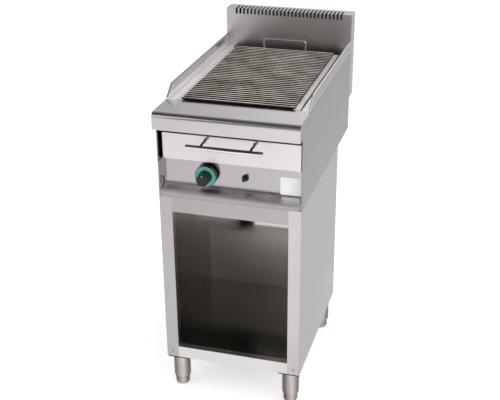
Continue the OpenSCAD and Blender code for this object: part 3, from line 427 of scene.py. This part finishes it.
dial = {"ticks": 8, "from": 75, "step": 26, "shortest": 2.2, "growth": 0.55, "wide": 1.1, "edge": 26.8,
        "dots": ((0, 1.7), (38, 1.1)), "dotAt": 23.5, "pointer": 1.5, "pointerAt": 13.2}
marks = []
for step in range(dial["ticks"]):  # flame scale: ticks that grow round the ring
    angle = dial["from"] + step * dial["step"]
    long = dial["shortest"] + dial["growth"] * step
    marks.append(block((dial["wide"], 0.3, long), Matrix.Rotation(math.radians(angle), 3, "Y"),
                       dialPlace(angle, dial["edge"] - long / 2, knob["ringFront"]), 0.08))
for angle, size in dial["dots"]:  # off dot and spark dot
    marks.append(turned([(0, -0.15), (size - 0.1, -0.15), (size, 0), (size, 0.1)], (0, 1, 0),
                        dialPlace(angle, dial["dotAt"], knob["ringFront"]), 20))
addPiece("knobMarks", joined(marks), markInk, "control_knob")
r = dial["pointer"]
pointer = turned([(0, -0.2), (r - 0.2, -0.2), (r, 0), (r, 0.4)], (0, 1, 0),
                 dialPlace(0, dial["pointerAt"], knob["front"]), 20)
addPiece("knobPointer", pointer, whiteVinyl, "control_knob")
print("knob made")

igniter = {"x": 38, "z": 698, "panel": -297, "flange": 9.5, "bore": 4.7, "boreEnd": -290, "face": -301,
           "barrel": 8, "end": -245.5, "tip": -318, "button": 4.5, "buttonEnd": -283}
at = (igniter["x"], 0, igniter["z"])
wide, panel, bore, barrel, end = (igniter[key] for key in ("flange", "panel", "bore", "barrel", "end"))
body = turned([(bore, igniter["boreEnd"]), (bore, -300.4), (5.4, igniter["face"]), (7.2, igniter["face"]),
               (7.6, -300.4), (8.2, -300.6), (9, -300.2), (wide, -299.4), (wide, panel), (barrel, panel),
               (barrel, end - 1), (barrel - 1, end), (0, end)], (0, 1, 0), at)
addPiece("igniterBody", body, blackPlastic, "grill_body", ["piezo_igniter"])
tip, r, end = igniter["tip"], igniter["button"], igniter["buttonEnd"]
button = turned([(0, tip), (r - 2.9, tip + 0.1), (r - 1.3, tip + 0.6), (r - 0.4, tip + 1.5), (r, tip + 2.6),
                 (r, end), (0, end)], (0, 1, 0), at, 36)
addPiece("igniterCap", button, blackPlastic, "igniter_button", ["piezo_button"])
print("igniter made")

grate = {"rods": 33, "first": -233, "last": 268, "radius": 4, "half": 157, "z": 883.5, "railX": 155,
         "seam": 879.5, "bead": 2.2, "beadOut": 2.8}
pitch = (grate["last"] - grate["first"]) / (grate["rods"] - 1)
draw = random.Random(7)
rods, welds = [], []
for i in range(grate["rods"]):
    y = grate["first"] + i * pitch
    lift = draw.uniform(-0.25, 0)  # rods are never quite level after a few seasons
    r, h = grate["radius"], grate["half"] - draw.uniform(0, 1.2)
    rods.append(turned([(0, -h), (r - 1, -h), (r - 0.3, -h + 0.3), (r, -h + 1), (r, h - 1), (r - 0.3, h - 0.3),
                        (r - 1, h), (0, h)], (1, 0, 0), (0, y, grate["z"] + lift), 16))
    for x in (-grate["railX"], grate["railX"]):
        for side in (-1, 1):
            bead = bmesh.new()
            bmesh.ops.create_icosphere(bead, subdivisions=1, radius=grate["bead"] * mm)
            bmesh.ops.scale(bead, vec=(draw.uniform(1.2, 1.9), 0.8, 0.7), verts=bead.verts)
            spot = Vector((x, y + side * grate["beadOut"], grate["seam"] + 0.8))
            bmesh.ops.translate(bead, verts=bead.verts, vec=spot * mm)
            welds.append(bead)
addPiece("grateRods", joined(rods), rodSteel, "grate", ["grate_rods"])
addPiece("grateWelds", joined(welds), railSteel, "grate")
print("grate made")

leg = {"x": 167, "front": -292, "back": 122, "top": 105, "low": 32, "tube": 25, "bore": 21.06, "foot": 21,
       "high": 67, "groove": 24, "grooveDepth": 0.8}
t, bore, low, top = (leg[key] for key in ("tube", "bore", "low", "top"))
tubeProfile = [(bore, low), (t - 1.2, low), (t - 0.3, low + 0.4), (t, low + 1.4), (t, top - 3), (t + 0.6, top - 2.2),
               (t + 1.6, top - 0.8), (t + 1.8, top), (bore, top), (bore, low)]  # flared where it is welded on
f, ring, cut = leg["foot"], leg["groove"], leg["grooveDepth"]
footProfile = [(0, 0), (12, 0), (15, 0.6), (18, 2.6), (20, 5.6), (f, 9), (f, ring), (f - cut, ring + 0.6),
               (f - cut, ring + 2.2), (f, ring + 2.8), (f, leg["high"]), (0, leg["high"])]
tubes = []
for x in (-leg["x"], leg["x"]):
    for end, y in (("front", leg["front"]), ("rear", leg["back"])):
        tubes.append(turned(tubeProfile, (0, 0, 1), (x, y, 0), 64))
        name = end + ("Left" if x < 0 else "Right") + "Foot"
        node = end + ("_left" if x < 0 else "_right") + "_foot"
        addPiece(name, turned(footProfile, (0, 0, 1), (x, y, 0), 64), legSteel, bodyOf[node], [node])
addPiece("legTubes", joined(tubes), legSteel, "grill_body", ["leg_tubes"])
print("legs made")

screw = {"head": 4, "rise": 2, "shank": 2, "length": 8, "x": 182, "backX": 182.5, "low": 126, "high": 614,
         "front": -325, "back": 90, "foot": 101, "shelf": 147.5, "cross": (4.2, 0.5, 0.9), "crossTurn": 0.3}
r, top, shank, deep = (screw[key] for key in ("head", "rise", "shank", "length"))
profile = [(0, top), (1.5, top - 0.05), (2.8, top - 0.35), (3.6, top - 0.85), (r, top - 1.5), (r, 0), (shank, 0),
           (shank, -deep), (0, -deep)]
heads, crossShades = [], []
for side in (-1, 1):
    x, backX = side * screw["x"], side * screw["backX"]
    seats = (((x, screw["front"], screw["low"]), (0, -1, 0)),
             ((backX, screw["back"], screw["high"]), (0, 1, 0)),
             ((backX, screw["foot"], screw["shelf"]), (0, 0, 1)))  # post, back panel, back panel's foot
    for seat, out in seats:
        heads.append(turned(profile, out, seat, 32))
        upright = Vector(out).rotation_difference(Vector((0, 1, 0))).inverted().to_matrix()
        for turn in (screw["crossTurn"], screw["crossTurn"] + math.pi / 2):  # driver cross: thin dark slabs, painted shade for the recess
            crossShades.append(block(screw["cross"], upright @ Matrix.Rotation(turn, 3, "Y"),
                               Vector(seat) + Vector(out) * (top - 0.2), 0.1))
addPiece("postScrews", joined(heads), screwSteel, "grill_body", ["panel_screws"])
addPiece("screwCrossShades", joined(crossShades), markInk, "grill_body")
print("screws made")

label = {"x": 163.5, "z": 687, "width": 58, "height": 50, "back": -297, "thick": 0.6, "corner": 2.5}
plate = bmesh.new()
bmesh.ops.create_grid(plate, x_segments=1, y_segments=1, size=0.5)
bmesh.ops.scale(plate, vec=(label["width"] * mm, label["height"] * mm, 1), verts=plate.verts)
bmesh.ops.bevel(plate, geom=plate.verts[:], offset=label["corner"] * mm, segments=6, profile=0.5, affect="VERTICES",
                material=-1)
bmesh.ops.rotate(plate, verts=plate.verts, cent=(0, 0, 0), matrix=Matrix.Rotation(math.radians(90), 3, "X"))
bmesh.ops.translate(plate, verts=plate.verts, vec=Vector((label["x"], label["back"], label["z"])) * mm)
grown = bmesh.ops.extrude_face_region(plate, geom=plate.faces[:])["geom"]
bmesh.ops.translate(plate, verts=[g for g in grown if isinstance(g, bmesh.types.BMVert)],
                    vec=(0, -label["thick"] * mm, 0))
bmesh.ops.recalc_face_normals(plate, faces=plate.faces)
addPiece("blankLabel", plate, whiteVinyl, "grill_body", ["rating_plate"])
print("label made")

inlet = {"x": 120, "z": 665, "nut": 15, "nutFrom": 303.5, "nutTo": 313.5, "neckTo": 317, "end": 343,
         "major": 10.47, "thread": 1.8, "cut": 0.9, "bore": 7, "boreDepth": 18}
r, start, stop, major, neck = (inlet[key] for key in ("nut", "nutFrom", "nutTo", "major", "neckTo"))
profile = [(0, start), (r - 1, start), (r, start + 1), (r, stop - 1), (r - 1, stop), (major - 1, stop),
           (major - 1, neck)]
turns = int((inlet["end"] - neck - 1) / inlet["thread"])
root = major - inlet["cut"]
for i in range(turns):  # pipe thread, drawn as rings
    y = neck + i * inlet["thread"]
    profile += [(root, y + 0.15), (major, y + 0.75), (major, y + 1.05), (root, y + 1.65)]
bore, end, deep = inlet["bore"], inlet["end"], inlet["end"] - inlet["boreDepth"]
profile += [(major - 1.2, end), (bore, end), (bore, deep), (0, deep)]
addPiece("gasInlet", turned(profile, (0, 1, 0), (inlet["x"], 0, inlet["z"]), 48), brass, "grill_body",
         ["gas_inlet_fitting"])
print("gas inlet made")

floorHalf = 12.0  # metres
floorMesh = bmesh.new()
bmesh.ops.create_grid(floorMesh, x_segments=1, y_segments=1, size=floorHalf)
mesh = bpy.data.meshes.new("floor")
floorMesh.to_mesh(mesh)
floorMesh.free()
floor = bpy.data.objects.new("floor", mesh)
bpy.context.scene.collection.objects.link(floor)
# White paper sweep: white to the camera; in the steel's mirror image it glows with painted light that changes across
# X, with painted shade from ambient occlusion near the stand; its diffuse part takes the shadow.
paper = bpy.data.materials.new("whitePaperSweep")
paper.use_nodes = True
tree = paper.node_tree
tree.nodes.clear()
rays = addNode(tree, "ShaderNodeLightPath")
seen = addNode(tree, "ShaderNodeMath", links={0: rays.outputs["Is Camera Ray"], 1: rays.outputs["Is Glossy Ray"]},
               operation="MAXIMUM")
seen = addNode(tree, "ShaderNodeMath", links={0: seen.outputs[0], 1: rays.outputs["Is Transmission Ray"]},
               operation="MAXIMUM")
matt = addNode(tree, "ShaderNodeBsdfDiffuse", {"Color": linear("#E6E6E6")})
spot = addNode(tree, "ShaderNodeTexCoord")
sweep = addNode(tree, "ShaderNodeSeparateXYZ", links={0: spot.outputs["Object"]})
paintedMirrorLight = addNode(tree, "ShaderNodeMapRange", {"From Min": -1.2, "From Max": -0.1, "To Min": 0.1, "To Max": 0.36},
                   {"Value": sweep.outputs["X"]})
fade = addNode(tree, "ShaderNodeMapRange", {"From Min": 0.05, "From Max": 0.35, "To Min": 1.0, "To Max": 0.1},
               {"Value": sweep.outputs["X"]})
paintedMirrorLight = addNode(tree, "ShaderNodeMath", links={0: paintedMirrorLight.outputs[0], 1: fade.outputs[0]}, operation="MULTIPLY")
paintedNookShade = addNode(tree, "ShaderNodeAmbientOcclusion", {"Distance": 0.15}, samples=6)
paintedMirrorLight = addNode(tree, "ShaderNodeMath", links={0: paintedMirrorLight.outputs[0], 1: paintedNookShade.outputs["AO"]},
                   operation="MULTIPLY")
level = addNode(tree, "ShaderNodeMix", {3: 0.5}, {0: rays.outputs["Is Camera Ray"], 2: paintedMirrorLight.outputs[0]})
glow = addNode(tree, "ShaderNodeEmission", {"Color": (1, 1, 1, 1)}, {"Strength": level.outputs[0]})
both = addNode(tree, "ShaderNodeAddShader", links={0: matt.outputs[0], 1: glow.outputs[0]})
shown = addNode(tree, "ShaderNodeMixShader", links={0: seen.outputs[0], 1: matt.outputs[0], 2: both.outputs[0]})
addNode(tree, "ShaderNodeOutputMaterial", links={"Surface": shown.outputs[0]})
mesh.materials.append(paper)

studio = bpy.data.worlds.new("studio")
bpy.context.scene.world = studio
studio.use_nodes = True
tree = studio.node_tree
tree.nodes.clear()
rays = addNode(tree, "ShaderNodeLightPath")
way = addNode(tree, "ShaderNodeTexCoord")
split = addNode(tree, "ShaderNodeSeparateXYZ", links={0: way.outputs["Generated"]})
depth = addNode(tree, "ShaderNodeMapRange", {"From Min": -1.0, "From Max": 1.0}, {"Value": split.outputs["Y"]})
room = addNode(tree, "ShaderNodeValToRGB", links={"Fac": depth.outputs[0]})
tones = {0.02: "#A8A7A7", 0.09: "#7C7B7B", 0.21: "#585757", 0.4: "#525151", 0.62: "#868585", 0.85: "#CFCECE",
         0.97: "#FAFAFA"}  # dark overhead, lighter towards the front, white behind
while len(room.color_ramp.elements) < len(tones):
    room.color_ramp.elements.new(1.0)
for stop, (place, shade) in zip(room.color_ramp.elements, tones.items()):
    stop.position = place
    stop.color = linear(shade)
fill = addNode(tree, "ShaderNodeBackground", {"Color": (1, 1, 1, 1), "Strength": 0.65})
across = addNode(tree, "ShaderNodeMapRange", {"From Min": -0.5, "From Max": -0.2, "To Min": 0.34, "To Max": 1.0},
                 {"Value": split.outputs["X"]})
mirror = addNode(tree, "ShaderNodeBackground", links={"Color": room.outputs[0], "Strength": across.outputs[0]})
white = addNode(tree, "ShaderNodeBackground", {"Color": (1, 1, 1, 1), "Strength": 1.0})
gloss = addNode(tree, "ShaderNodeMixShader", links={0: rays.outputs["Is Glossy Ray"], 1: fill.outputs[0],
                                                    2: mirror.outputs[0]})
view = addNode(tree, "ShaderNodeMixShader", links={0: rays.outputs["Is Camera Ray"], 1: gloss.outputs[0],
                                                   2: white.outputs[0]})
addNode(tree, "ShaderNodeOutputWorld", links={"Surface": view.outputs[0]})

lamps = {  # place, aim, size in metres and power in watts
    "topBox": ((1.9, 0.2, 2.7), (0, 0, 0.7), 3.3, 30),
    "leftBox": ((-2.3, -2.2, 1.7), (0, 0, 0.6), 3.0, 24),
    "rightBox": ((1.9, -2.6, 1.7), (0, 0, 0.6), 3.5, 38),
}
for name, (place, aim, size, power) in lamps.items():
    lamp = bpy.data.lights.new(name, "AREA")
    lamp.shape = "SQUARE"
    lamp.size = size
    lamp.energy = power
    box = bpy.data.objects.new(name, lamp)
    box.location = place
    box.rotation_euler = (Vector(aim) - Vector(place)).to_track_quat("-Z", "Y").to_euler()
    box.visible_camera = False
    bpy.context.scene.collection.objects.link(box)
print("stage lit")

shot = {"azimuth": 16.29, "elevation": 25.216, "roll": -0.51, "place": (0.7074, -2.5464, 1.7381), "lens": 69.34}
az, el, roll = (math.radians(shot[k]) for k in ("azimuth", "elevation", "roll"))
back = Vector((math.sin(az) * math.cos(el), -math.cos(az) * math.cos(el), math.sin(el)))
right = Vector((math.cos(az), math.sin(az), 0))
up = back.cross(right)
turn = Matrix((right * math.cos(roll) + up * math.sin(roll), up * math.cos(roll) - right * math.sin(roll), back))
lens = bpy.data.cameras.new("camera")
lens.lens = shot["lens"]
lens.sensor_width = 36
lens.sensor_fit = "HORIZONTAL"
camera = bpy.data.objects.new("camera", lens)
camera.matrix_world = Matrix.Translation(shot["place"]) @ turn.transposed().to_4x4()
bpy.context.scene.collection.objects.link(camera)
bpy.context.scene.camera = camera
bpy.context.scene.view_settings.view_transform = "Standard"
print("camera set")
